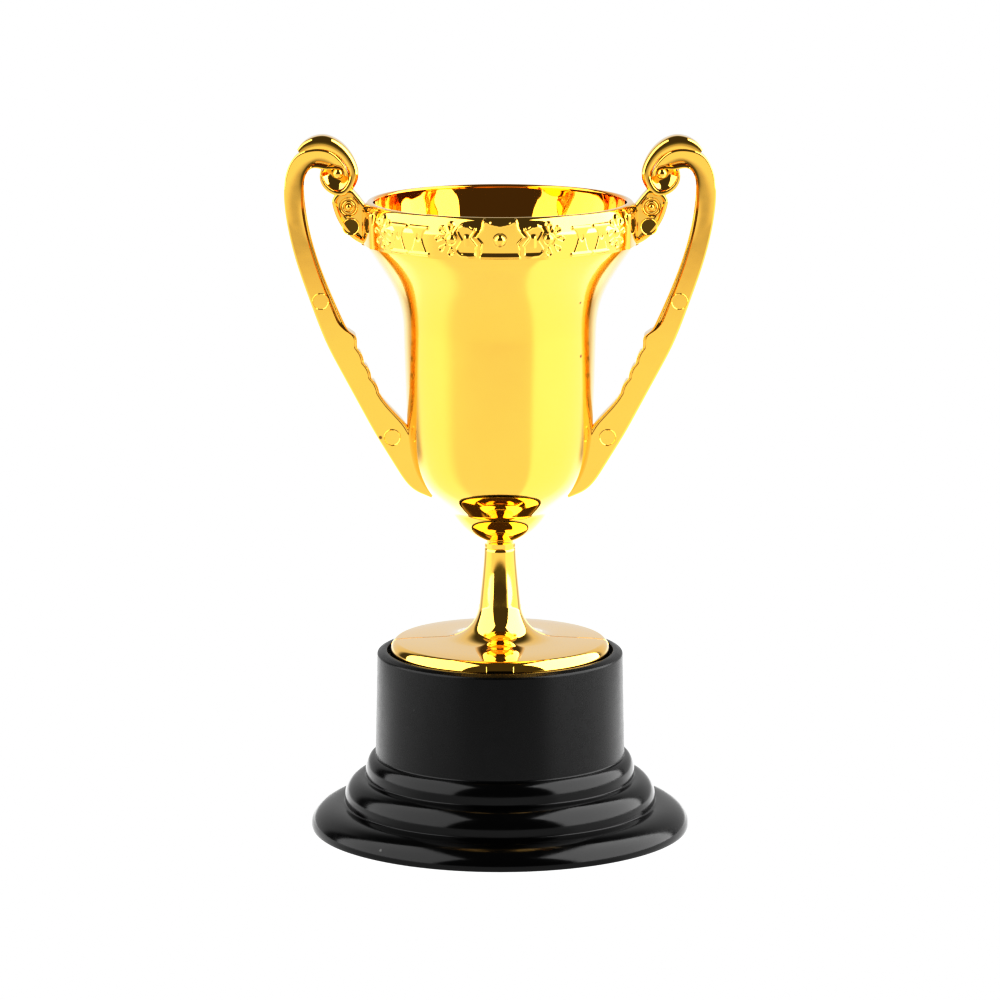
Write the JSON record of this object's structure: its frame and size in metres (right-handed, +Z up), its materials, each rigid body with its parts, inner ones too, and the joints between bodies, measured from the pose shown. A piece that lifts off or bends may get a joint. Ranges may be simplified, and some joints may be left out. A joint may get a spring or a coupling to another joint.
{
  "type": "cup trophy",
  "caption": "Small gold-plated plastic cup trophy with two scroll handles, a slim stem and a round foot disc set in a hollow black stepped base.",
  "frame": {"origin": "centre of the flat bottom face", "axes": "+Z up along the cup's axis, the two handles lie along +X and -X, and the front faces -Y"},
  "size_m": [0.0768, 0.0684, 0.1263],
  "materials": {
    "gold_plating": "moulded plastic with a vacuum-metallised gold mirror finish",
    "black_plastic": "black moulded plastic, satin drum and glossier rings",
    "zinc_screw": "bright zinc plated",
    "foam_pad": "matt black closed-cell foam"
  },
  "bodies": {
    "root": {"cup_bowl": "gold_plating", "handle_left": "gold_plating", "handle_right": "gold_plating", "stem_foot": "gold_plating", "base_shell": "black_plastic", "base_screw": "zinc_screw", "screw_washer": "zinc_screw", "bottom_pad": "foam_pad"}
  },
  "joints": []
}
